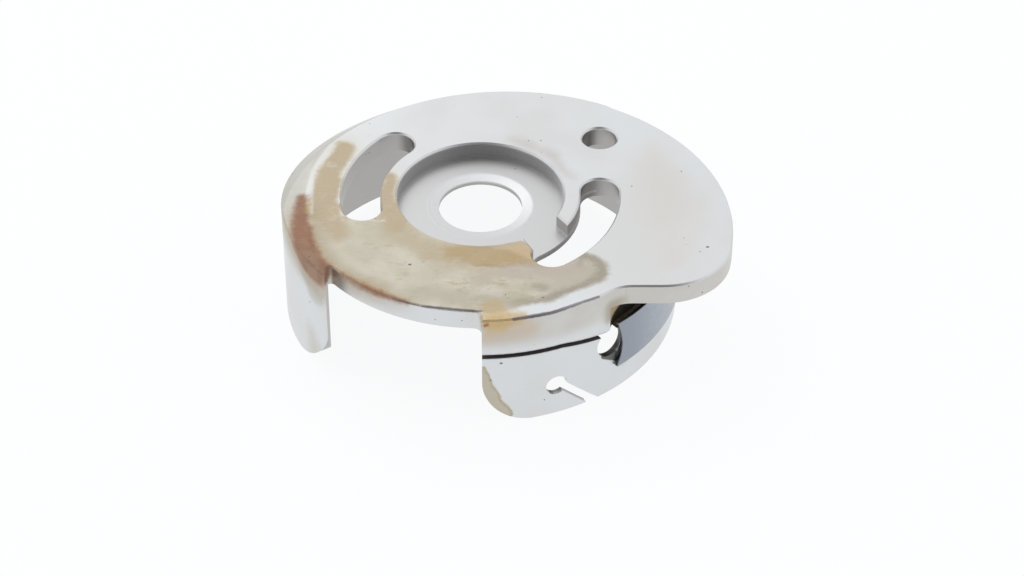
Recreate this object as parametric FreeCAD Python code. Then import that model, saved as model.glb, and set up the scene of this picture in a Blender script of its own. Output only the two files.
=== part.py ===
import FreeCAD, Part

import math
import os

# Bobbin case body of a sewing machine hook, empty, with its thread tension spring.
# Millimetres. The origin is on the centre bore's axis, at the inner face of the face plate.
# +Z points out of the face plate, the open rim is at the bottom, and the thread slit is at the front (-Y).
# Angles are in degrees about +Z, counted from +X.

V = FreeCAD.Vector
Z_AXIS = V(0, 0, 1)

# Overall size
wall_outer_radius = 14.25
case_height = 9.2
wall_thickness = 0.95
face_thickness = 1.55
edge_break = 0.12

# Face plate outline: an eccentric disc whose right side stands out of the wall as a lobe
lobe_extra_radius = 1.7
lobe_centre_x = 1.9
lobe_centre_y = -3.5
lobe_front_inset = 3.75
lobe_corner_radius = 5.0
lobe_root_radius = 2.5
back_bevel_slope = 1.25

# Centre of the face plate
bore_radius = 3.0
bore_dish_width = 0.75
bore_dish_depth = 0.1
recess_radius = 5.97
recess_floor_thickness = 0.45

# Curved slots through the face plate
slot_inner_radius = 7.17
slot_width = 2.78
right_slot_start = -54.0
right_slot_end = 2.0
left_slot_start = 137.0
left_slot_end = 191.5

# Gap in the rim between the recess and the right slot
rim_gap_start_inside = -59.0
rim_gap_start_outside = -60.0
rim_gap_end_inside = -25.0
rim_gap_end_outside = -30.5
rim_gap_lap = 0.4

# Small hole through the face plate
index_hole_radius = 1.27
index_hole_wall_distance = 2.4
index_hole_angle = 37.3

# Opening in the wall, between the leg on the left and the thread wall in front
opening_left_x = -10.7
opening_left_tilt = 5.0
opening_right_x = 0.2
opening_cut_back = 0.12
opening_left_fillet = 0.3
opening_right_fillet = 0.65
leg_corner_radius = 4.6
thread_wall_corner_radius = 3.6

# Inside of the thread wall, which is thinner below the slit, and the back of the rim, which is shorter
thread_relief_height = 5.2
thread_relief_depth = 0.5
thread_relief_start = -95.0
thread_relief_end = -30.0
rim_bevel = 0.15
back_rim_relief = 0.55
back_rim_start = 28.0
back_rim_end = 160.0

# Thread path through the front wall
slit_top_drop = 1.5
slit_width = 0.36
slit_bend_angle = -66.0
slit_bend_slope = 9.0
eye_angle = -50.3
eye_drop = 3.15
eye_radius = 1.15
pocket_start_angle = -50.5
pocket_end_angle = -14.0
pocket_height = 2.15
pocket_depth = 0.65
pocket_cutter_radius = 2.2
keyhole_angle = -67.9
keyhole_height = 2.5
keyhole_radius = 0.78
keyhole_slot_width = 0.7
keyhole_slot_slope = 44.5
keyhole_slot_offset = 0.2

# Tension spring, a thin leaf bent round the outside of the wall
spring_gap = 0.04
spring_thickness = 0.26
spring_height = 3.9
spring_top_drop = 1.55
spring_tip_angle = -48.9
spring_end_angle = 29.0
spring_tail_height = 2.8
spring_notch_radius = 4.45
spring_notch_angle = -46.9
spring_tail_start = 1.0
spring_shoulder_length = 1.2

# Screws of the tension spring, and the pad inside the wall that takes their threads
adjusting_screw_angle = -4.0
adjusting_screw_radius = 0.85
adjusting_head_radius = 1.5
adjusting_head_height = 0.75
adjusting_head_gap = 0.2
fixing_screw_angle = 22.0
fixing_screw_radius = 0.7
fixing_head_radius = 1.25
fixing_head_height = 0.55
fixing_head_gap = 0.03
thread_clearance = 0.03
spring_hole_clearance = 0.15
driver_slot_width = 0.4
driver_slot_depth = 0.3
screw_end_chamfer = 0.2
head_edge_radius = 0.2
pad_thickness = 1.0
pad_side_margin = 8.0
pad_edge_margin = 0.9

# Brake spring under the face plate, which keeps the bobbin from overrunning, and its rivet
brake_thickness = 0.2
brake_gap = 0.2
brake_inner_radius = 8.6
brake_wall_distance = 2.3
brake_half_angle = 24.0
brake_prong_half_angle = 18.0
brake_prong_length = 2.6
brake_prong_width = 1.3
brake_prong_slope = 18.0
rivet_radius = 0.5
rivet_depth = 0.9
rivet_head_radius = 1.0
rivet_head_height = 0.38
rivet_head_edge_radius = 0.26
rivet_head_gap = 0.12
rivet_fit = 0.01
brake_hole_clearance = 0.12

# Sizes that follow from the ones above
wall_inner_radius = wall_outer_radius - wall_thickness
face_top = face_thickness
rim_z = face_thickness - case_height
slot_mid_radius = slot_inner_radius + slot_width / 2
spring_inner_radius = wall_outer_radius + spring_gap
spring_outer_radius = spring_inner_radius + spring_thickness
spring_mid_z = -(spring_top_drop + spring_height / 2)
pad_inner_radius = wall_inner_radius - pad_thickness
brake_outer_radius = wall_inner_radius - brake_wall_distance

# How far a cutting shape runs past what it cuts, how far fused shapes lap, and the tolerance for picking edges
beyond = 2.0
lap = 0.1
near = 0.01


def polar(radius, degrees, z=0.0):
    angle = math.radians(degrees)
    return V(radius * math.cos(angle), radius * math.sin(angle), z)


def cylinder(radius, low, high):
    return Part.makeCylinder(radius, high - low, V(0, 0, low))


def disc_at(x, y, radius, low, high):
    return Part.makeCylinder(radius, high - low, V(x, y, low))


def extrude(edges, low, high):
    """A prism on a closed outline that lies in the plane z = 0."""
    face = Part.Face(Part.Wire(Part.sortEdges(edges)[0]))
    face.translate(V(0, 0, low))
    return face.extrude(V(0, 0, high - low))


def arc_about(centre, radius, start, end):
    """An arc about a centre, counter-clockwise from one angle to the other."""
    middle = (start + end) / 2
    points = [centre + polar(radius, angle) for angle in (start, middle, end)]
    return Part.Arc(*points).toShape()


def band(inner, outer, start, end, low, high):
    """A piece of a ring between two angles."""
    origin = V(0, 0, 0)
    edges = [
        arc_about(origin, inner, start, end),
        arc_about(origin, outer, start, end),
        Part.LineSegment(polar(inner, start), polar(outer, start)).toShape(),
        Part.LineSegment(polar(inner, end), polar(outer, end)).toShape(),
    ]
    return extrude(edges, low, high)


def curved_slot(start, end, low, high):
    """A slot along an arc, with round ends about the two angles."""
    slot = band(slot_inner_radius, slot_inner_radius + slot_width, start, end, low, high)
    for angle in (start, end):
        centre = polar(slot_mid_radius, angle)
        slot = slot.fuse(disc_at(centre.x, centre.y, slot_width / 2, low, high))
    return slot.removeSplitter()


def radial_pin(angle, z, radius, inner, outer):
    """A round bar that points away from the axis, between two distances from it."""
    return Part.makeCylinder(radius, outer - inner, polar(inner, angle, z), polar(1, angle))


def facing(shape, angle):
    """Turn a shape that was drawn looking along -X, at angle 0, to face another angle."""
    return shape.rotate(V(0, 0, 0), Z_AXIS, angle)


def starts_at_axis(edge):
    return any(math.hypot(v.X, v.Y) < near for v in edge.Vertexes)


def lobe_outline():
    """Outline of the lobe: eccentric arc, round corner, straight front edge, hollow root, and back inside."""
    disc_radius = wall_outer_radius + lobe_extra_radius
    centre = V(lobe_centre_x, lobe_centre_y, 0)
    front_y = -(wall_outer_radius - lobe_front_inset)

    corner_reach = disc_radius - lobe_corner_radius
    corner_y = front_y + lobe_corner_radius
    corner_x = centre.x + math.sqrt(corner_reach ** 2 - (corner_y - centre.y) ** 2)
    corner = V(corner_x, corner_y, 0)
    corner_angle = math.degrees(math.atan2(corner_y - centre.y, corner_x - centre.x))

    root_y = front_y - lobe_root_radius
    root_reach = wall_outer_radius + lobe_root_radius
    root = V(math.sqrt(root_reach ** 2 - root_y ** 2), root_y, 0)
    root_angle = math.degrees(math.atan2(-root.y, -root.x))

    offset = math.hypot(centre.x, centre.y)
    cosine = (wall_outer_radius ** 2 + offset ** 2 - disc_radius ** 2) / (2 * wall_outer_radius * offset)
    crossing = polar(wall_outer_radius, math.degrees(math.atan2(centre.y, centre.x) + math.acos(cosine)))
    crossing_angle = math.degrees(math.atan2(crossing.y - centre.y, crossing.x - centre.x))

    inside = V(0, 0, 0)
    start = centre + polar(disc_radius, crossing_angle)
    root_end = root + polar(lobe_root_radius, root_angle)
    return [
        Part.LineSegment(inside, start).toShape(),
        arc_about(centre, disc_radius, corner_angle, crossing_angle),
        arc_about(corner, lobe_corner_radius, -90, corner_angle),
        Part.LineSegment(V(corner.x, front_y, 0), V(root.x, front_y, 0)).toShape(),
        arc_about(root, lobe_root_radius, 90, root_angle % 360),
        Part.LineSegment(root_end, inside).toShape(),
    ]


def back_bevel():
    """What the eccentric bevel takes off the wall's shoulder at the back."""
    disc_radius = wall_outer_radius + lobe_extra_radius
    depth = face_thickness * 2
    low = face_top - depth
    cone = Part.makeCone(
        disc_radius + depth * back_bevel_slope,
        disc_radius,
        depth,
        V(lobe_centre_x, lobe_centre_y, low),
    )
    return cylinder(wall_outer_radius + beyond, low, face_top).cut(cone)


def shell():
    """The closed end with its lobe, and the wall, with the shoulder bevelled at the back."""
    disc = cylinder(wall_outer_radius, 0, face_top)
    disc = disc.makeChamfer(edge_break, [edge for edge in disc.Edges if edge.BoundBox.ZMin > face_top - near])
    cup = disc.fuse(wall()).removeSplitter()
    lobe = extrude(lobe_outline(), 0, face_top)
    lobe_edges = [edge for edge in lobe.Edges if edge.BoundBox.ZMin > face_top - near and not starts_at_axis(edge)]
    lobe = lobe.makeChamfer(edge_break, lobe_edges)
    return cup.cut(back_bevel()).fuse(lobe).removeSplitter()


def wall():
    """The round wall, bevelled inside the open rim and thinned at the thread path, with a pad for the screws."""
    ring = cylinder(wall_outer_radius, rim_z, 0).cut(cylinder(wall_inner_radius, rim_z, 0))
    bevel = Part.makeCone(wall_inner_radius + rim_bevel, wall_inner_radius, rim_bevel, V(0, 0, rim_z))
    thread_relief = band(
        wall_inner_radius - beyond,
        wall_inner_radius + thread_relief_depth,
        thread_relief_start,
        thread_relief_end,
        rim_z - beyond,
        rim_z + thread_relief_height,
    )
    back_relief = band(
        wall_inner_radius - beyond,
        wall_outer_radius + beyond,
        back_rim_start,
        back_rim_end,
        rim_z - beyond,
        rim_z + back_rim_relief,
    )
    pad_low = spring_mid_z - spring_height / 2 - pad_edge_margin
    pad_high = spring_mid_z + spring_height / 2 + pad_edge_margin
    pad = band(
        pad_inner_radius,
        wall_inner_radius + wall_thickness / 2,
        adjusting_screw_angle - pad_side_margin,
        fixing_screw_angle + pad_side_margin,
        pad_low,
        pad_high,
    )
    return ring.cut(bevel).cut(thread_relief).cut(back_relief).fuse(pad)


def wall_opening():
    """What is milled away between the leg and the thread wall. Only the plate keeps round inside corners."""
    low = rim_z - beyond
    high = face_top + beyond
    reach = wall_outer_radius + beyond
    core_radius = wall_inner_radius - opening_cut_back
    left_y = -math.sqrt(wall_outer_radius ** 2 - opening_left_x ** 2)
    tilt = math.tan(math.radians(opening_left_tilt))
    points = [
        V(opening_left_x - left_y * tilt, 0, 0),
        V(opening_left_x - (left_y + reach) * tilt, -reach, 0),
        V(opening_right_x, -reach, 0),
        V(opening_right_x, 0, 0),
    ]
    outline = [Part.LineSegment(a, b).toShape() for a, b in zip(points, points[1:] + points[:1])]
    plain = extrude(outline, low, 0).cut(cylinder(core_radius, low, 0))
    tool = extrude(outline, low, high).cut(cylinder(core_radius, low, high))
    for sign, radius in ((-1, opening_left_fillet), (1, opening_right_fillet)):
        corner = [
            edge for edge in tool.Edges
            if all(abs(math.hypot(v.X, v.Y) - core_radius) < near for v in edge.Vertexes)
            and edge.BoundBox.ZLength > high - low - near
            and (edge.CenterOfMass.x - opening_left_x / 2) * sign > 0
        ]
        tool = tool.makeFillet(radius, corner)
    return tool.fuse(plain)


def corner_cut(x, side, radius):
    """Rounds a bottom corner of the wall beside the opening. side is +1 where the wall is at larger angles."""
    end_angle = -90 - math.degrees(math.asin(-x / wall_outer_radius))
    middle = end_angle + side * math.degrees(radius / 2 / wall_outer_radius)
    offset = wall_outer_radius * math.sin(math.radians(middle - end_angle))
    corner_y = -offset
    depth = wall_inner_radius / 2
    block = Part.makeBox(depth * 2, radius + beyond, radius + beyond, V(depth, 0, rim_z - beyond))
    if side > 0:
        block.translate(V(0, corner_y - beyond, 0))
    else:
        block.translate(V(0, corner_y - radius, 0))
    round_centre = V(0, corner_y + side * radius, rim_z + radius)
    rounding = Part.makeCylinder(radius, wall_outer_radius + depth * 2, round_centre, V(1, 0, 0))
    return facing(block.cut(rounding), middle)


def rim_gap():
    """The gap that is cut in the rim between the recess and the right slot, down to the recess floor."""
    points = [
        polar(recess_radius - rim_gap_lap, rim_gap_start_inside),
        polar(slot_mid_radius, rim_gap_start_outside),
        polar(slot_mid_radius, rim_gap_end_outside),
        polar(slot_inner_radius, rim_gap_end_outside),
        polar(recess_radius, rim_gap_end_inside),
        polar(recess_radius - rim_gap_lap, rim_gap_end_inside),
    ]
    points.append(points[0])
    edges = [Part.LineSegment(a, b).toShape() for a, b in zip(points, points[1:])]
    return extrude(edges, recess_floor_thickness, face_top + beyond)


def centre_cuts():
    """The hub bore, its shallow dish and the round recess above the thin floor."""
    floor = recess_floor_thickness
    bore = cylinder(bore_radius, -beyond, face_top)
    dish = Part.makeCone(bore_radius, bore_radius + bore_dish_width, bore_dish_depth, V(0, 0, floor - bore_dish_depth))
    recess = cylinder(recess_radius, floor, face_top + beyond)
    return bore.fuse(dish).fuse(recess)


def index_hole_centre():
    return polar(wall_inner_radius - index_hole_wall_distance, index_hole_angle)


def face_cuts():
    """Everything that is cut through the face plate."""
    low = -beyond
    high = face_top + beyond
    hole = index_hole_centre()
    return [
        centre_cuts(),
        curved_slot(right_slot_start, right_slot_end, low, high),
        curved_slot(left_slot_start, left_slot_end, low, high),
        rim_gap(),
        disc_at(hole.x, hole.y, index_hole_radius, low, high),
    ]


def slit():
    """The thread slit, level at the front and sloping down into the eye."""
    inner = wall_inner_radius - beyond
    outer = wall_outer_radius + beyond
    low = -slit_top_drop - slit_width
    start = -90 - math.degrees(math.asin(beyond / wall_outer_radius))
    level = band(inner, outer, start, slit_bend_angle, low, low + slit_width)
    length = wall_outer_radius * math.sin(math.radians(eye_angle - slit_bend_angle)) + near
    slope = Part.makeBox(outer - inner, length, slit_width)
    slope.translate(V(inner, 0, -slit_width))
    slope = slope.rotate(V(0, 0, 0), V(1, 0, 0), -slit_bend_slope)
    slope.translate(V(0, -near, -slit_top_drop))
    return level.fuse(facing(slope, slit_bend_angle))


def keyhole():
    """A round hole near the rim, with a slot that slants down from it through the rim."""
    z = rim_z + keyhole_height
    inner = wall_inner_radius - beyond
    outer = wall_outer_radius + beyond
    hole = radial_pin(keyhole_angle, z, keyhole_radius, inner, outer)
    length = 2 * (keyhole_height + beyond)
    slot = Part.makeBox(outer - inner, length, keyhole_slot_width)
    slot.translate(V(inner, 0, keyhole_slot_offset - keyhole_slot_width / 2))
    slot = slot.rotate(V(0, 0, 0), V(1, 0, 0), -keyhole_slot_slope)
    slot.translate(V(0, 0, z))
    return hole.fuse(facing(slot, keyhole_angle))


def spring_pocket():
    """A milled pocket above the spring, under the lobe, whose ends run out in the cutter's radius."""
    floor_radius = wall_outer_radius - pocket_depth
    cutter_reach = floor_radius + pocket_cutter_radius
    cosine = (wall_outer_radius ** 2 + cutter_reach ** 2 - pocket_cutter_radius ** 2)
    run_out = math.degrees(math.acos(cosine / (2 * wall_outer_radius * cutter_reach)))
    start = pocket_start_angle + run_out
    end = pocket_end_angle - run_out
    pocket = band(floor_radius, cutter_reach + pocket_cutter_radius, start, end, -pocket_height, 0)
    for angle in (start, end):
        centre = polar(cutter_reach, angle)
        pocket = pocket.fuse(disc_at(centre.x, centre.y, pocket_cutter_radius, -pocket_height, 0))
    return pocket


def thread_cuts():
    """The slit, the eye beside the spring, the pocket above it, and the keyhole."""
    inner = wall_inner_radius - beyond
    outer = wall_outer_radius + beyond
    return [
        slit(),
        radial_pin(eye_angle, -eye_drop, eye_radius, inner, outer),
        spring_pocket(),
        keyhole(),
    ]


def screw_holes():
    inner = pad_inner_radius - beyond
    outer = wall_outer_radius + beyond
    return [
        radial_pin(adjusting_screw_angle, spring_mid_z, adjusting_screw_radius + thread_clearance, inner, outer),
        radial_pin(fixing_screw_angle, spring_mid_z, fixing_screw_radius + thread_clearance, inner, outer),
    ]


def brake_rivet_centre():
    return polar((brake_inner_radius + brake_outer_radius) / 2, 90)


def break_cut_edges(body):
    """Takes the sharp edge off every cut in the top of the face plate, and off the opening's edge there."""
    def is_cut(edge):
        on_top = edge.BoundBox.ZMin > face_top - near
        farthest = max(math.hypot(v.X, v.Y) for v in edge.Vertexes)
        nearest = min(math.hypot(v.X, v.Y) for v in edge.Vertexes)
        inside = farthest < wall_inner_radius - edge_break
        beside_opening = nearest < wall_inner_radius and edge.CenterOfMass.y < 0
        return on_top and (inside or beside_opening)

    return body.makeChamfer(edge_break, [edge for edge in body.Edges if is_cut(edge)])


def case_body():
    body = shell()
    for tool in face_cuts() + thread_cuts() + screw_holes():
        body = body.cut(tool)
    rivet = brake_rivet_centre()
    body = body.cut(disc_at(rivet.x, rivet.y, rivet_radius + rivet_fit, -beyond, rivet_depth + rivet_fit))
    body = body.cut(wall_opening())
    body = body.cut(corner_cut(opening_right_x, 1, thread_wall_corner_radius))
    body = body.cut(corner_cut(opening_left_x, -1, leg_corner_radius))
    return break_cut_edges(body)


def tension_spring():
    """The leaf: a wide part with a hollow end beside the eye, and a narrower tail with a round end."""
    low = spring_mid_z - spring_height / 2
    high = spring_mid_z + spring_height / 2
    shell = cylinder(spring_outer_radius, low, high).cut(cylinder(spring_inner_radius, low, high))
    reach = spring_outer_radius + beyond
    inner = spring_inner_radius - beyond
    wide = shell.common(band(inner, reach, spring_tip_angle, spring_tail_start, low, high))

    notch_centre_angle = spring_notch_angle - math.degrees(spring_notch_radius / spring_outer_radius)
    notch_offset = -spring_outer_radius * math.sin(math.radians(spring_notch_angle - notch_centre_angle))
    notch = Part.makeCylinder(spring_notch_radius, reach, V(0, notch_offset, spring_mid_z), V(1, 0, 0))
    wide = wide.cut(facing(notch, spring_notch_angle))

    tail_middle = (spring_tail_start + spring_end_angle) / 2
    half = spring_outer_radius * math.sin(math.radians(spring_end_angle - tail_middle))
    end_radius = spring_tail_height / 2
    points = [
        V(0, -half - lap, low),
        V(0, -half + spring_shoulder_length, low),
        V(0, half - end_radius * 2, spring_mid_z - end_radius),
        V(0, half - end_radius, spring_mid_z - end_radius),
        V(0, half, spring_mid_z),
        V(0, half - end_radius, spring_mid_z + end_radius),
        V(0, half - end_radius * 2, spring_mid_z + end_radius),
        V(0, -half + spring_shoulder_length, high),
        V(0, -half - lap, high),
    ]
    edges = [Part.LineSegment(a, b).toShape() for a, b in zip(points[:3], points[1:4])]
    edges.append(Part.Arc(points[3], points[4], points[5]).toShape())
    edges += [Part.LineSegment(a, b).toShape() for a, b in zip(points[5:], points[6:] + points[:1])]
    outline = Part.Face(Part.Wire(Part.sortEdges(edges)[0]))
    outline.translate(V(inner, 0, 0))
    tail = shell.common(facing(outline.extrude(V(reach - inner, 0, 0)), tail_middle))

    leaf = wide.fuse(tail).removeSplitter()
    for angle, radius in ((adjusting_screw_angle, adjusting_screw_radius), (fixing_screw_angle, fixing_screw_radius)):
        leaf = leaf.cut(radial_pin(angle, spring_mid_z, radius + spring_hole_clearance, inner, reach))
    return leaf


def slotted_screw(angle, shank_radius, head_radius, head_height, head_gap):
    """A cheese-head screw that stands out of the wall, its shank ending flush with the pad."""
    seat = spring_outer_radius + head_gap
    shank = Part.makeCylinder(shank_radius, seat - pad_inner_radius, V(pad_inner_radius, 0, 0), V(1, 0, 0))
    end_edge = [edge for edge in shank.Edges if edge.BoundBox.XMax < pad_inner_radius + near]
    shank = shank.makeChamfer(screw_end_chamfer, end_edge)
    head = Part.makeCylinder(head_radius, head_height, V(seat, 0, 0), V(1, 0, 0))
    rim = [edge for edge in head.Edges if edge.BoundBox.XMin > seat + head_height - near]
    head = head.makeFillet(head_edge_radius, rim)
    slot = Part.makeBox(
        driver_slot_depth * 2,
        head_radius * 2 + beyond,
        driver_slot_width,
        V(seat + head_height - driver_slot_depth, -head_radius - beyond / 2, -driver_slot_width / 2),
    )
    screw = shank.fuse(head).cut(slot).removeSplitter()
    screw.translate(V(0, 0, spring_mid_z))
    return facing(screw, angle)


def brake_spring():
    """A flat leaf under the plate at the back, with two prongs that slope down over the bobbin."""
    low = -brake_gap - brake_thickness
    start = 90 - brake_half_angle
    end = 90 + brake_half_angle
    leaf = band(brake_inner_radius, brake_outer_radius, start, end, low, low + brake_thickness)
    for angle in (90 - brake_prong_half_angle, 90 + brake_prong_half_angle):
        prong = Part.makeBox(brake_prong_length, brake_prong_width, brake_thickness)
        prong.translate(V(-brake_prong_length, -brake_prong_width / 2, 0))
        prong = prong.rotate(V(0, 0, 0), V(0, 1, 0), -brake_prong_slope)
        prong.translate(V(brake_inner_radius + brake_thickness, 0, low))
        leaf = leaf.fuse(facing(prong, angle))
    hole = brake_rivet_centre()
    leaf = leaf.cut(disc_at(hole.x, hole.y, rivet_radius + brake_hole_clearance, low - beyond, low + beyond))
    return leaf.removeSplitter()


def brake_rivet():
    """The rivet that holds the brake spring, in a blind hole in the plate."""
    centre = brake_rivet_centre()
    seat = -brake_gap - brake_thickness - rivet_head_gap
    shank = disc_at(centre.x, centre.y, rivet_radius, seat, rivet_depth)
    head = disc_at(centre.x, centre.y, rivet_head_radius, seat - rivet_head_height, seat)
    rim = [edge for edge in head.Edges if edge.BoundBox.ZMax < seat - rivet_head_height + near]
    head = head.makeFillet(rivet_head_edge_radius, rim)
    return shank.fuse(head).removeSplitter()


parts = {
    "case_body": case_body(),
    "tension_spring": tension_spring(),
    "tension_adjusting_screw": slotted_screw(
        adjusting_screw_angle, adjusting_screw_radius, adjusting_head_radius, adjusting_head_height,
        adjusting_head_gap,
    ),
    "spring_fixing_screw": slotted_screw(
        fixing_screw_angle, fixing_screw_radius, fixing_head_radius, fixing_head_height, fixing_head_gap,
    ),
    "brake_spring": brake_spring(),
    "brake_spring_rivet": brake_rivet(),
}

os.makedirs("parts", exist_ok=True)
for name, shape in parts.items():
    solids = shape.Solids
    print(name, "solids", len(solids), "valid", shape.isValid(), "volume", round(shape.Volume, 3))
    shape.exportStep("parts/" + name + ".step")
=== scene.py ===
import math

import bmesh
import bpy
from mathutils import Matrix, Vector

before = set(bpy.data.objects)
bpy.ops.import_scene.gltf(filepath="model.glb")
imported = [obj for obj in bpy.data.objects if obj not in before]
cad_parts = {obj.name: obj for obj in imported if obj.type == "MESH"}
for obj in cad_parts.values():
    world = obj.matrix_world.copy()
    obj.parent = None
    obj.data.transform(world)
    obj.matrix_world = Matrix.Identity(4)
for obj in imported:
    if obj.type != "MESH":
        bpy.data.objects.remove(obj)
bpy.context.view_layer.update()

# The scene is in metres. Sizes on the bobbin case are given in millimetres.
MM = 0.001

# The case's own sizes, in millimetres, that the finishes are placed by
recess_radius = 5.97
face_top = 1.55
rim_z = -7.65
leaf_outer_radius = 14.55
slit_z = -1.68
slit_bend_x = 5.8
slit_bend_fall = 0.175
spot_radius = 0.08

# Colours, linear
clean_steel = (0.690, 0.708, 0.722)
dull_steel = (0.655, 0.655, 0.650)
warm_steel = (0.655, 0.615, 0.575)
beige_steel = (0.500, 0.465, 0.405)
shaded_inside_steel = (0.440, 0.430, 0.420)
recess_steel = (0.600, 0.598, 0.600)
ring_steel = (0.680, 0.680, 0.690)
painted_bevel_shade = (0.500, 0.490, 0.440)
tan_oil = (0.470, 0.330, 0.165)
ochre_oil = (0.490, 0.370, 0.200)
pale_oil = (0.660, 0.625, 0.520)
grey_oil = (0.550, 0.500, 0.385)
dark_tan = (0.500, 0.360, 0.180)
pale_tan = (0.540, 0.480, 0.400)
tide_brown = (0.360, 0.270, 0.160)
olive_edge = (0.370, 0.330, 0.255)
far_oil = (0.530, 0.490, 0.410)
red_rust = (0.330, 0.150, 0.085)
brown_rust = (0.290, 0.160, 0.105)
sandy_rust = (0.420, 0.265, 0.165)
rust_tint = (0.430, 0.350, 0.240)
orange_rust = (0.680, 0.470, 0.200)
dot_rust = (0.300, 0.110, 0.050)
yellow_rust = (0.500, 0.400, 0.170)
painted_arris_reflection = (0.200, 0.170, 0.190)
# near black, for real pits and specks and for painted shade in the pocket and behind the leaf
black_grime_and_shade = (0.022, 0.022, 0.022)
painted_slit_shade = (0.080, 0.074, 0.070)
painted_eye_shade = (0.075, 0.078, 0.068)
painted_slope_shading = (0.620, 0.500, 0.300)
brown_grime = (0.150, 0.120, 0.110)
old_halo = (0.50, 0.45, 0.42)
fringe_rust = (0.55, 0.36, 0.20)
pink_tint = (0.56, 0.44, 0.33)
corner_tan = (0.56, 0.43, 0.24)
pale_ochre = (0.55, 0.50, 0.39)
ochre_rim = (0.42, 0.35, 0.19)
eye_tint = (0.52, 0.48, 0.37)
recess_dirt_and_shade = (0.34, 0.33, 0.33)
dark_blue = (0.290, 0.315, 0.360)
light_blue = (0.370, 0.400, 0.450)
screw_colour = (0.600, 0.600, 0.610)
brake_colour = (0.580, 0.580, 0.560)
rivet_colour = (0.620, 0.610, 0.590)
table_white = (0.985, 0.995, 1.0)
table_grey = (0.08, 0.08, 0.08)
studio_white = (0.985, 0.992, 1.0)
dark_room = (0.10, 0.10, 0.11)

# The stage. Angles are in degrees, and the dark room's are measured from its middle
table_side = 3.0
table_glow = 0.93
dark_room_height = 36
dark_room_core = 18
dark_room_reach = 48
camera_target = Vector((2.26, -10.72, 1.55))
camera_elevation = 39.39
camera_distance = 199.8


# ---------------------------------------------------------------- shader maths

class Value:
    """A number or a vector in a finish, so that shader maths reads as plain expressions."""

    def __init__(self, finish, socket):
        self.finish = finish
        self.socket = socket

    def maths(self, operation, *values):
        inputs = dict(enumerate(values))
        return self.finish.node("ShaderNodeMath", {"operation": operation}, inputs)

    def __add__(self, other):
        return self.maths("ADD", self, other)

    def __sub__(self, other):
        return self.maths("SUBTRACT", self, other)

    def __rsub__(self, other):
        return self.maths("SUBTRACT", other, self)

    def __mul__(self, other):
        return self.maths("MULTIPLY", self, other)

    def __truediv__(self, other):
        return self.maths("DIVIDE", self, other)

    __radd__ = __add__
    __rmul__ = __mul__

    def least(self, other):
        return self.maths("MINIMUM", self, other)

    def most(self, other):
        return self.maths("MAXIMUM", self, other)

    def size(self):
        return self.maths("ABSOLUTE", self)

    def root(self):
        return self.maths("SQRT", self)

    def rises(self, low, high):
        """0 below low, 1 above high, and smooth between. With low above high it falls."""
        settings = {"interpolation_type": "SMOOTHSTEP"}
        if low < high:
            return self.finish.node("ShaderNodeMapRange", settings, {0: self, 1: low, 2: high})
        return 1 - self.finish.node("ShaderNodeMapRange", settings, {0: self, 1: high, 2: low})


class Nodes:
    """The nodes of a material or of the world."""

    def __init__(self, owner):
        owner.use_nodes = True
        self.tree = owner.node_tree
        self.tree.nodes.clear()

    def node(self, kind, settings, inputs, output=0):
        made = self.tree.nodes.new(kind)
        for name, setting in settings.items():
            setattr(made, name, setting)
        for name, value in inputs.items():
            if isinstance(value, Value):
                self.tree.links.new(value.socket, made.inputs[name])
            else:
                made.inputs[name].default_value = value
        return Value(self, made.outputs[output]) if made.outputs else None

    def blend(self, amount, under, over):
        """One colour laid over another by a share."""
        inputs = {0: amount, 6: rgba(under), 7: rgba(over)}
        return self.node("ShaderNodeMix", {"data_type": "RGBA"}, inputs, 2)


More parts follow.
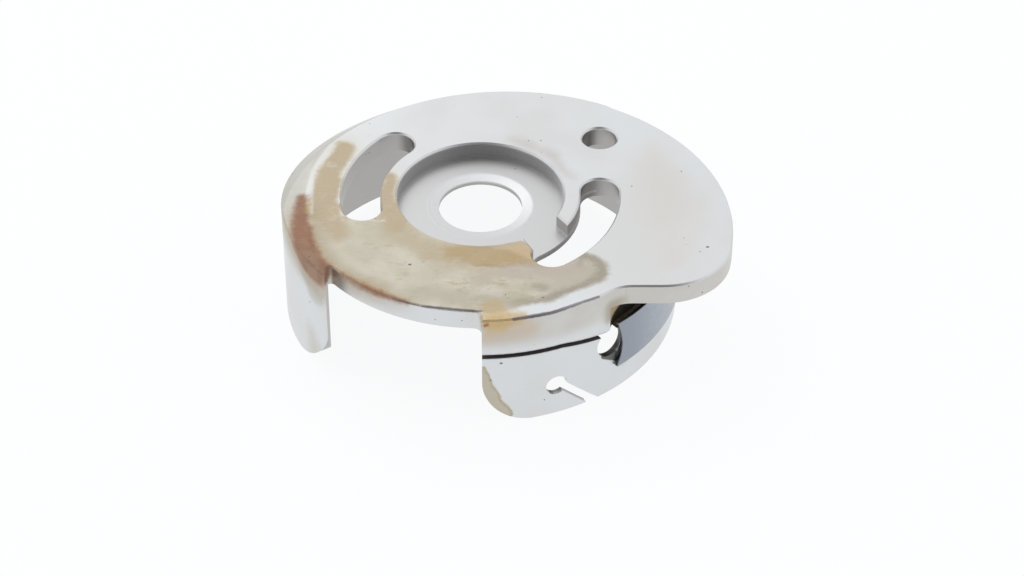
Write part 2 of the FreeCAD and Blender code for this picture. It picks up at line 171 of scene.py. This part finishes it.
class Finish(Nodes):
    """One material, and what the finishes of the bobbin case share."""

    def __init__(self, name):
        self.material = bpy.data.materials.new(name)
        super().__init__(self.material)
        coordinates = self.node("ShaderNodeTexCoord", {}, {}, "Object")
        in_mm = {0: coordinates, "Scale": 1 / MM}
        self.place = self.node("ShaderNodeVectorMath", {"operation": "SCALE"}, in_mm)

    def axes(self):
        return [self.node("ShaderNodeSeparateXYZ", {}, {0: self.place}, name) for name in "XYZ"]

    def stretched(self, x, y, z):
        """The place in millimetres, scaled along each axis, for a pattern that is longer one way."""
        return self.node("ShaderNodeVectorMath", {"operation": "MULTIPLY"}, {0: self.place, 1: (x, y, z)})

    def noise(self, per_mm, detail=3.0, roughness=0.55, place=None):
        inputs = {"Vector": place or self.place, "Scale": per_mm, "Detail": detail, "Roughness": roughness}
        return self.node("ShaderNodeTexNoise", {}, inputs, "Fac")

    def specks(self, per_mm, radius, share):
        """Small round pits, one in some of the cells of a grid of that many cells to a millimetre."""
        inputs = {"Vector": self.place, "Scale": per_mm}
        near = self.node("ShaderNodeTexVoronoi", {}, inputs, "Distance")
        cell = self.node("ShaderNodeTexVoronoi", {}, inputs, "Color")
        chosen = self.node("ShaderNodeSeparateColor", {}, {0: cell}, "Red")
        return near.rises(radius * per_mm, radius * per_mm * 0.5) * chosen.rises(1 - share, 1 - share + 0.02)

    def streak(self, *points):
        """Distance outside a stroke through points (x, y, z, half width) in millimetres, negative inside."""
        found = None
        for start, end in zip(points, points[1:]):
            a, b = Vector(start[:3]), Vector(end[:3])
            along = b - a
            from_a = self.node("ShaderNodeVectorMath", {"operation": "SUBTRACT"}, {0: self.place, 1: a})
            inputs = {0: from_a, 1: along / along.length_squared}
            share = self.node("ShaderNodeVectorMath", {"operation": "DOT_PRODUCT"}, inputs, "Value")
            share = self.node("ShaderNodeClamp", {}, {0: share})
            foot = self.node("ShaderNodeVectorMath", {"operation": "SCALE"}, {0: along, "Scale": share})
            gap = self.node("ShaderNodeVectorMath", {"operation": "DISTANCE"}, {0: from_a, 1: foot}, "Value")
            gap = gap - (share * (end[3] - start[3]) + start[3])
            found = gap if found is None else found.least(gap)
        return found

    def bump(self, height, depth_mm):
        inputs = {"Strength": 1.0, "Distance": depth_mm * MM, "Height": height}
        return self.node("ShaderNodeBump", {}, inputs)

    def surface(self, **sockets):
        inputs = {name.replace("_", " "): value for name, value in sockets.items()}
        shader = self.node("ShaderNodeBsdfPrincipled", {}, inputs)
        self.node("ShaderNodeOutputMaterial", {}, {"Surface": shader})
        return self.material


def rgba(colour):
    return colour if isinstance(colour, Value) else (*colour, 1.0)


# ---------------------------------------------------------------- finishes

class CaseFinish(Finish):
    """The case's own steel, with the places and patterns that its stains share, and the colour so far."""

    def __init__(self, name):
        super().__init__(name)
        self.x, self.y, self.z = self.axes()
        self.radius = (self.x * self.x + self.y * self.y).root()
        self.on_top = self.z.rises(face_top - 0.25, face_top - 0.02)
        self.ragged = self.noise(0.55, 4, 0.6) - 0.5
        self.fine = self.noise(3.2, 3, 0.6) - 0.5
        self.mottle = self.noise(0.75, 5, 0.6)
        self.speckle = self.noise(7.5, 3, 0.7)
        self.colour = None

    def lay(self, share, over):
        self.colour = self.blend(share, self.colour, over)

    def on_plate(self, *points):
        """A streak on the face plate through points (x, y, half width)."""
        return self.streak(*((x, y, face_top, width) for x, y, width in points))


def ground_steel(f):
    """Ground steel, darkened inside the case and on the walls of its cuts as painted shade, duller in the
    recess, warmer on the lobe and on the upper sides, with a band of painted shade on the left bevel.
    """
    f.colour = f.blend(f.noise(0.13, 2).rises(0.35, 0.7), clean_steel, dull_steel)
    lobe = f.streak((12.4, 5, 1.5, 1.4), (13.8, -2.5, 1.5, 2.4), (13.6, -8, 1.5, 1.0)) + f.ragged * 2.0
    f.lay(lobe.rises(1.4, -2.0) * 0.55, warm_steel)
    upper_side = f.z.rises(face_top - 0.05, face_top - 0.2) * f.z.rises(-1.4, -0.1) * f.radius.rises(13.6, 14.0)
    f.lay(upper_side * (0.55 + f.ragged * 0.5), beige_steel)
    # interior faces and the walls of the cuts darkened: painted shade where less light reaches
    inside_wall = f.z.rises(0.02, -0.05) * f.radius.rises(14.12, 14.02)
    cut_walls = f.radius.rises(13.1, 13.0) * f.z.rises(face_top - 0.14, face_top - 0.2)
    f.lay(inside_wall.most(cut_walls), shaded_inside_steel)
    in_gap = f.radius.rises(recess_radius + 2.6, recess_radius + 2.5) * f.z.rises(0.3, 0.4) * f.z.rises(0.6, 0.5)
    in_recess = f.radius.rises(recess_radius + 0.02, recess_radius - 0.02) * f.z.rises(0.2, 0.3)
    recess = in_gap.most(in_recess)
    f.lay(recess, recess_steel)
    f.lay(recess * f.radius.rises(4.0, 3.5), ring_steel)
    # a grey band on the left bevel: painted shade of the bevel's slope
    left_bevel = f.radius.rises(12.35, 12.6) * f.z.rises(0.0, 0.4)
    left_bevel = left_bevel * f.x.rises(-8.5, -11.0) * f.y.rises(-9.0, -6.0)
    f.lay(left_bevel * (0.8 + f.ragged * 0.7), painted_bevel_shade)


def oil_stain(f):
    """Oil dried over the left front of the face plate. Gives the stain's share."""
    stain = f.on_plate(
        (-9.4, -4.6, 2.0),
        (-6.4, -6.9, 3.7),
        (-3.0, -9.1, 3.9),
        (0.6, -9.8, 3.6),
        (4.0, -10.3, 2.1),
        (7.2, -8.6, 1.75),
    )
    stain = stain.least(f.on_plate(
        (-11.2, -4.5, 1.0),
        (-9.8, -8.0, 1.3),
        (-7.5, -10.0, 1.2),
    ))
    left_arc = f.on_plate(
        (-9.9, 5.5, 0.75),
        (-10.85, 2.6, 0.9),
        (-11.1, -1.0, 1.0),
        (-10.8, -4.4, 1.3),
    )
    ring = f.on_plate((-6.6, 1.9, 0.6), (-6.7, -0.6, 0.6), (-5.9, -3.2, 0.9))
    by_slot = f.on_plate((-9.9, -1.6, 0.5), (-7.2, -2.6, 0.7), (-6.6, -1.0, 0.5))
    spread = stain.least(left_arc).least(ring).least(by_slot) + f.ragged * 0.9 + f.fine * 0.35
    film = spread.rises(0.3, -0.3) * f.on_top
    blotch = f.noise(0.42, 3, 0.55)
    oil = f.blend(blotch.rises(0.35, 0.62), grey_oil, pale_oil)
    oil = f.blend(f.mottle.rises(0.42, 0.6) * 0.4, oil, grey_oil)
    strong = left_arc.least(ring).rises(0.9, -0.4) * f.mottle.rises(0.2, 0.5)
    oil = f.blend(strong * 0.95, oil, tan_oil)
    along = f.stretched(0.55, 1.3, 1.0)
    smears = f.noise(0.9, 5, 0.62, along)
    oil = f.blend(smears.rises(0.52, 0.68) * 0.32, oil, ochre_oil)
    oil = f.blend(f.noise(1.7, 6, 0.7, along).rises(0.56, 0.66) * 0.4, oil, tide_brown)
    clear = f.on_plate((-4.5, -11.0, 0.5), (-1.0, -11.9, 0.5), (3.0, -12.2, 0.4))
    oil = f.blend((clear + f.ragged).rises(0.9, -0.4) * 0.4, oil, olive_edge)
    oil = f.blend(f.x.rises(3.0, 6.0) * 0.75, oil, far_oil)
    tide = (spread + f.fine * 0.5).rises(-1.05, -0.4) * f.x.rises(0.5, 5.0)
    front_smudge = f.on_plate((3.9, -10.5, 0.25), (4.4, -10.7, 0.3))
    back_smudge = f.on_plate((7.1, -7.6, 0.15), (6.9, -8.2, 0.2))
    tide = tide.most(front_smudge.rises(0.35, -0.2) * 0.7).most(back_smudge.rises(0.3, -0.2) * 0.7)
    oil = f.blend(tide * (0.7 + f.speckle * 0.3), oil, olive_edge)
    oil = f.blend((f.speckle.rises(0.62, 0.72)) * 0.25, oil, brown_grime)
    f.lay(film * 0.95, oil)
    thin_film = spread.rises(1.0, 0.1) * f.on_top * f.x.rises(1.0, -4.0)
    f.lay(thin_film * 0.35, pale_oil)
    pale_arc = f.on_plate(
        (-11.9, -3.4, 0.3),
        (-10.4, -6.6, 0.6),
        (-8.0, -9.2, 0.5),
    ) + f.ragged * 0.9
    f.lay(pale_arc.rises(0.5, -0.4) * film * 0.55, pale_oil)
    return film


def tan_patches(f):
    """A darker tan patch against the recess, a pale one in front of it, and a faint one behind the bore."""
    halo = f.on_plate((-6.0, -4.6, 0.7), (-3.2, -6.7, 1.0), (0.5, -7.6, 1.6))
    f.lay((halo + f.ragged * 1.6).rises(0.8, -0.8) * 0.4 * f.on_top, ochre_oil)
    patch = f.on_plate((-1.6, -6.9, 0.8), (0.8, -7.2, 1.2), (2.6, -7.0, 1.1), (3.6, -7.3, 0.9))
    patch = (patch + f.ragged * 1.5 + f.fine * 0.5).rises(0.45, -0.45) * f.on_top
    f.lay(patch * (0.62 + f.mottle * 0.4), f.blend(f.x.rises(0.5, 2.4), ochre_oil, dark_tan))
    tide_line = (patch - 0.5).size().rises(0.5, 0.1) * patch.rises(0.02, 0.1)
    f.lay(tide_line * 0.45 * f.x.rises(-1.5, 0.5), tide_brown)
    pale = f.on_plate((0.6, -9.3, 0.8), (2.8, -9.0, 0.9), (6.4, -8.6, 0.7))
    pale = (pale + f.ragged * 1.6 + f.fine * 0.6).rises(0.4, -0.6) * f.on_top
    f.lay(pale * 0.8, pale_tan)
    halo = f.on_plate((2.6, 6.3, 0.5), (5.3, 4.4, 0.4), (6.3, 2.0, 0.35)) + f.ragged * 1.6
    f.lay(halo.rises(0.7, -0.7) * f.on_top * 0.5, old_halo)


def edge_rust(f):
    """Rust along the left edge and the milled edge of the plate. Gives the rust's share."""
    rust = f.streak(
        (-12.75, -0.6, face_top, 0.42),
        (-12.7, -3.2, face_top, 0.62),
        (-12.4, -5.5, face_top, 0.80),
        (-11.9, -7.4, 1.3, 0.95),
        (-11.2, -8.6, 1.2, 0.95),
        (-10.2, -9.3, 1.4, 0.55),
        (-8.3, -10.5, face_top, 0.42),
        (-6.6, -11.5, face_top, 0.30),
        (-5.0, -12.25, face_top, 0.12),
    )
    rust = rust + f.ragged * 0.8 + f.fine * 0.35
    f.lay(rust.rises(1.5, 0.0) * 0.6 * f.y.rises(0.5, -4.0) * f.x.rises(-3, -8), rust_tint)
    streaked = f.on_plate((-12.1, 0.6, 0.14), (-12.05, -2.3, 0.2)) + f.fine * 0.3
    f.lay(streaked.rises(0.1, -0.1) * f.on_top * 0.6, clean_steel)
    fringe = (rust + (f.speckle - 0.5) * 2.0).rises(0.35, 0.05) * f.x.rises(-13.2, -9.0) * f.on_top
    f.lay(fringe * 0.55, fringe_rust)
    rust_share = rust.rises(0.30, -0.35)
    rust_colour = f.blend(rust.rises(-0.05, -0.6) * f.y.rises(-5.5, -7.5), red_rust, brown_rust)
    rust_colour = f.blend(f.mottle.rises(0.45, 0.65) * 0.4, rust_colour, sandy_rust)
    rust_colour = f.blend(f.speckle.rises(0.5, 0.7) * 0.3, rust_colour, sandy_rust)
    f.lay(rust_share * 0.93, rust_colour)
    yellow = f.on_plate((-12.15, -0.7, 0.14), (-12.2, -2.2, 0.2)) + f.fine * 0.4
    f.lay(yellow.rises(0.2, -0.15) * f.on_top * 0.55, yellow_rust)
    leg_foot = f.streak((-12.0, -7.8, -5.0, 0.4), (-11.5, -8.3, -7.4, 1.1)) + f.ragged
    f.lay(leg_foot.rises(1.0, -0.8) * 0.5, beige_steel)
    leg_top = f.streak((-12.3, -7.0, 0.3, 0.6), (-11.6, -8.1, -0.6, 0.8), (-11.1, -8.8, -0.9, 0.6))
    leg_top = leg_top + f.ragged * 1.4 + f.fine * 0.6
    f.lay(leg_top.rises(0.5, -0.4) * 0.45 * (1 - rust_share), olive_edge)
    return rust_share


def wall_corner(f):
    """Tint and rust at the top corner of the front wall, and a painted dark reflection along its arris."""
    pink = f.streak((0.6, -14.2, 0.2, 0.6), (3.4, -13.8, 0.5, 0.6)) + f.ragged * 0.8
    f.lay(pink.rises(0.7, -0.6) * 0.6, pink_tint)
    corner = f.streak((1.0, -12.7, face_top, 0.8), (1.2, -13.9, 1.3, 1.0), (2.5, -13.8, 1.4, 0.5))
    corner = corner + f.ragged * 0.9 + f.fine * 0.5
    f.lay(corner.rises(0.4, -0.3) * 0.7, corner_tan)
    hot = f.streak((0.5, -14.1, 1.25, 0.4), (1.6, -14.0, 1.3, 0.55), (3.0, -13.7, 1.4, 0.2))
    hot_share = (hot + f.ragged * 1.1 + f.fine * 0.8).rises(0.4, -0.35)
    f.lay(hot_share * 0.85, f.blend(f.speckle.rises(0.45, 0.6) * 0.6, orange_rust, ochre_oil))
    dot = f.streak((0.45, -14.2, 1.15, 0.12), (0.55, -14.2, 1.2, 0.14)) + f.fine * 0.25
    f.lay(dot.rises(0.1, -0.06) * 0.8, dot_rust)
    # a dark purple line along the arrises: painted reflection of the rounded edges
    line = f.streak((2.4, -14.0, 1.5, 0.09), (5.0, -13.3, 1.5, 0.1), (8.2, -11.6, 1.5, 0.05))
    line = line.least(f.streak((-8.0, -11.0, 1.5, 0.05), (-4.0, -12.6, 1.5, 0.05), (0.2, -13.2, 1.5, 0.05)))
    f.lay((line + f.fine * 0.12).rises(0.08, 0.0) * 0.8, painted_arris_reflection)
    return hot_share


def wall_stain(f):
    """Ochre stain down the front wall's free edge, and a tint below the eye. Gives the stain's share."""
    ochre = f.streak(
        (0.25, -14.25, -2.8, 0.25),
        (0.5, -14.2, -4.4, 0.5),
        (1.0, -14.2, -5.8, 0.55),
        (1.9, -14.1, -7.0, 0.45),
    ) + f.ragged * 0.6 + f.fine * 0.3
    ochre_share = ochre.rises(0.12, -0.08)
    ochre_colour = f.blend(ochre.rises(-0.28, -0.02) * 0.8, pale_ochre, ochre_rim)
    f.lay(ochre_share * 0.9, ochre_colour)
    below_eye = f.streak((9.7, -10.4, -4.6, 0.6), (10.1, -10.0, -5.5, 0.4)) + f.ragged * 0.9
    f.lay(below_eye.rises(0.5, -0.6) * 0.5, eye_tint)
    return ochre_share


def painted_crevice_shade(f):
    """Painted shade in the slit, the eye, beside the leaf's tip and in the pocket above the leaf, with painted
    light on the pocket's sloping end. Gives where the slit and pocket shading lies.
    """
    bend = (f.x - slit_bend_x).most(0) * slit_bend_fall
    slit = (f.z + bend - slit_z).size().rises(0.30, 0.20) * f.radius.rises(14.26, 14.22) * f.x.rises(0.1, 0.3)
    slit = slit * f.radius.rises(12.9, 13.2) * f.y.rises(-9.0, -9.6)
    # the slit's faces darkened nearly black: painted shade in the narrow gap
    f.lay(slit * 0.95, painted_slit_shade)
    # the eye's bore walls darkened: painted shade inside the hole
    eye = f.streak((7.6, -9.15, -3.15, 1.3), (9.04, -10.9, -3.15, 1.3)).rises(0.02, -0.02)
    f.lay(eye * f.radius.rises(14.24, 14.18) * f.radius.rises(12.9, 13.2) * 0.85, painted_eye_shade)
    # a dark wedge on the wall between the eye and the leaf's tip: painted shadow beside the leaf's end
    wedge = f.streak((8.75, -11.25, -4.05, 0.35), (9.3, -10.8, -4.45, 0.42), (9.58, -10.55, -5.15, 0.05))
    f.lay(wedge.rises(0.06, -0.06) * 0.9, painted_eye_shade)
    pocket = f.radius.rises(14.22, 14.12) * f.radius.rises(13.5, 13.6)
    pocket = pocket * f.z.rises(-2.2, -2.1) * f.z.rises(0.05, -0.05)
    pocket = pocket * f.x.rises(8.5, 9.0) * f.y.rises(0, -1)
    # the pocket made a bright non-metallic yellow-brown: painted light and shading on its sloping, shaded end
    f.lay(pocket * 0.95, painted_slope_shading)
    # the lower right of the pocket darkened to near black: painted shadow in the crevice under the lobe
    black = (f.z - (f.x - 9.2) * 0.85).rises(-1.2, -1.6).most(f.x.rises(10.6, 11.0))
    f.lay(pocket * black * 0.97, black_grime_and_shade)
    # an olive band on the wall at the pocket's left end: painted shade of its sloping run-out
    painted_mouth_shade = f.streak((9.0, -11.05, -0.9, 0.25), (9.15, -10.95, 0.1, 0.4), (9.9, -10.3, 0.4, 0.2))
    painted_mouth_shade = painted_mouth_shade + f.ragged * 0.5
    f.lay(painted_mouth_shade.rises(0.5, -0.3) * f.radius.rises(14.1, 14.2) * 0.75, olive_edge)
    return slit.most(pocket)


def recess_corner(f):
    """The recess's back wall, darkened towards the back: partly dirt and partly painted shade. Gives its share.
    """
    recess_wall = (f.radius - recess_radius).size().rises(0.35, 0.02) * f.z.rises(0.4, 0.5)
    recess_wall = recess_wall * f.z.rises(face_top - 0.1, face_top - 0.4) * f.y.rises(-3.0, 3.0)
    # darker towards the back of the recess wall: partly dirt, partly painted shade
    f.lay(recess_wall * 0.7, recess_dirt_and_shade)
    return recess_wall


def wear_marks(f):
    """Tool marks, dust, scratches and pits. Gives the pits' share."""
    tool_marks = f.noise(3.2, 2, 0.5, f.stretched(1.0, 1.0, 0.06)).rises(0.52, 0.64)
    root = f.streak((9.9, -10.3, 0.9, 0.5), (9.7, -10.4, -1.2, 0.5)) + f.ragged * 0.5
    f.lay(root.rises(0.3, -0.3) * tool_marks * 0.5, beige_steel)
    dust = f.specks(5.5, 0.03, 0.3) * f.mottle.rises(0.42, 0.6)
    f.lay(dust * 0.5, beige_steel)
    scratches = f.noise(1.4, 1, 0.4, f.stretched(0.5, 9.0, 9.0)).rises(0.715, 0.745)
    f.lay(scratches * f.on_top * 0.35, dull_steel)
    pits = f.specks(1.1, 0.07, 0.3).most(f.specks(3.4, 0.04, 0.12) * f.mottle.rises(0.5, 0.65))
    f.lay(pits * 0.85, black_grime_and_shade)
    spots = ((-4.85, -8.15, face_top), (1.5, -14.2, -2.3), (-11.8, -8.0, -6.9), (15.9, -6.2, face_top))
    for sx, sy, sz in spots:
        spot = f.streak((sx, sy, sz, spot_radius), (sx + 0.05, sy, sz, spot_radius))
        f.lay(spot.rises(0.05, -0.04) * 0.8, black_grime_and_shade)
    return pits


def worn_steel():
    """Satin ground steel: handled, pitted, with an oil stain and rust at the left front."""
    f = CaseFinish("worn_steel")
    ground_steel(f)
    film = oil_stain(f)
    tan_patches(f)
    rust_share = edge_rust(f)
    hot_share = wall_corner(f)
    ochre_share = wall_stain(f)
    black = painted_crevice_shade(f)
    recess_wall = recess_corner(f)
    pits = wear_marks(f)
    grain = f.noise(22, 2, 0.6)
    worn = f.noise(6.0, 4, 0.6)
    height = grain * 0.25 + worn * 0.5 - pits * 1.5
    height = height + film * (0.6 + f.speckle * 0.5) + rust_share * f.speckle * 1.4
    rough = 0.33 + worn * 0.10 + film * 0.22 + rust_share * 0.3
    coated = (film * 0.6).most(rust_share * 0.9).most(ochre_share * 0.6).most(hot_share * 0.8)
    metal = 1 - coated.most(recess_wall * 0.7).most(black)
    bump = f.bump(height, 0.006)
    return f.surface(Base_Color=f.colour, Metallic=metal, Roughness=rough, Normal=bump)


def blued_steel():
    """Blue-grey spring steel, darker towards its tip, with painted shade on its hollow side and ends."""
    f = Finish("blued_spring_steel")
    x, y, z = f.axes()
    radius = (x * x + y * y).root()
    colour = f.blend(x.rises(10.2, 13.0), dark_blue, light_blue)
    colour = f.blend(f.noise(2.0, 4, 0.6).rises(0.4, 0.7) * 0.5, colour, dark_blue)
    # the end faces and hollow side darkened near black: painted shade in the gap behind the leaf
    behind = radius.rises(leaf_outer_radius - 0.06, leaf_outer_radius - 0.1)
    colour = f.blend(behind * 0.9, colour, black_grime_and_shade)
    rough = 0.26 + f.noise(9, 3, 0.6) * 0.12
    bump = f.bump(f.noise(18, 3, 0.6), 0.003)
    return f.surface(Base_Color=colour, Metallic=1.0, Roughness=rough, Normal=bump)


def plain_steel(name, colour, roughness):
    """Bright turned or pressed steel, with a faint change of tone."""
    f = Finish(name)
    tone = f.noise(1.5, 3, 0.6)
    shade = f.blend(tone, colour, tuple(0.86 * part for part in colour))
    rough = roughness + f.noise(9, 3, 0.6) * 0.12
    bump = f.bump(f.noise(18, 3, 0.6), 0.003)
    return f.surface(Base_Color=shade, Metallic=1.0, Roughness=rough, Normal=bump)


finishes = {
    "case_body": worn_steel(),
    "tension_spring": blued_steel(),
    "tension_adjusting_screw": plain_steel("screw_steel", screw_colour, 0.26),
    "spring_fixing_screw": plain_steel("screw_steel_plain", screw_colour, 0.3),
    "brake_spring": plain_steel("brake_spring_steel", brake_colour, 0.28),
    "brake_spring_rivet": plain_steel("rivet_steel", rivet_colour, 0.32),
}
for name, finish in finishes.items():
    for place in range(len(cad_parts[name].data.materials)):
        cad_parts[name].data.materials[place] = finish


# ---------------------------------------------------------------- stage

def pale_floor():
    """A glowing white table, which keeps only a faint shadow."""
    mesh = bpy.data.meshes.new("floor")
    shape = bmesh.new()
    bmesh.ops.create_grid(shape, x_segments=1, y_segments=1, size=table_side / 2)
    bmesh.ops.translate(shape, verts=shape.verts, vec=(0, 0, rim_z * MM))
    shape.to_mesh(mesh)
    shape.free()
    floor = bpy.data.objects.new("floor", mesh)
    bpy.context.scene.collection.objects.link(floor)
    f = Finish("white_table")
    mesh.materials.append(f.surface(
        Base_Color=rgba(table_grey), Roughness=0.9, Specular_IOR_Level=0.0,
        Emission_Color=rgba(table_white), Emission_Strength=table_glow,
    ))


def studio():
    """White walls all round, with a darker room behind the camera."""
    world = bpy.data.worlds.new("studio")
    bpy.context.scene.world = world
    sky = Nodes(world)
    direction = sky.node("ShaderNodeTexCoord", {}, {}, "Generated")
    height = math.radians(dark_room_height)
    inputs = {0: direction, 1: (0.0, -math.cos(height), math.sin(height))}
    towards = sky.node("ShaderNodeVectorMath", {"operation": "DOT_PRODUCT"}, inputs, "Value")
    room = towards.rises(math.cos(math.radians(dark_room_reach)), math.cos(math.radians(dark_room_core)))
    colour = sky.blend(room, studio_white, dark_room)
    background = sky.node("ShaderNodeBackground", {}, {"Color": colour})
    sky.node("ShaderNodeOutputWorld", {}, {"Surface": background})


def soft_light(name, place, target, size, power):
    data = bpy.data.lights.new(name, "AREA")
    data.size = size
    data.energy = power
    light = bpy.data.objects.new(name, data)
    light.location = place
    light.rotation_euler = (Vector(target) - Vector(place)).to_track_quat("-Z", "Y").to_euler()
    bpy.context.scene.collection.objects.link(light)


def camera():
    target = camera_target * MM
    elevation = math.radians(camera_elevation)
    distance = camera_distance * MM
    back = Vector((0, -math.cos(elevation), math.sin(elevation)))
    data = bpy.data.cameras.new("camera")
    data.lens = 102.3
    data.sensor_width = 36
    data.clip_start = 0.01
    seen = bpy.data.objects.new("camera", data)
    seen.location = target + back * distance
    seen.rotation_euler = (-back).to_track_quat("-Z", "Y").to_euler()
    bpy.context.scene.collection.objects.link(seen)
    bpy.context.scene.camera = seen


pale_floor()
studio()
camera()
soft_light("back_window", (-0.25, 0.35, 0.40), (0, 0, 0), 0.35, 0.5)
bpy.context.scene.view_settings.view_transform = "Standard"
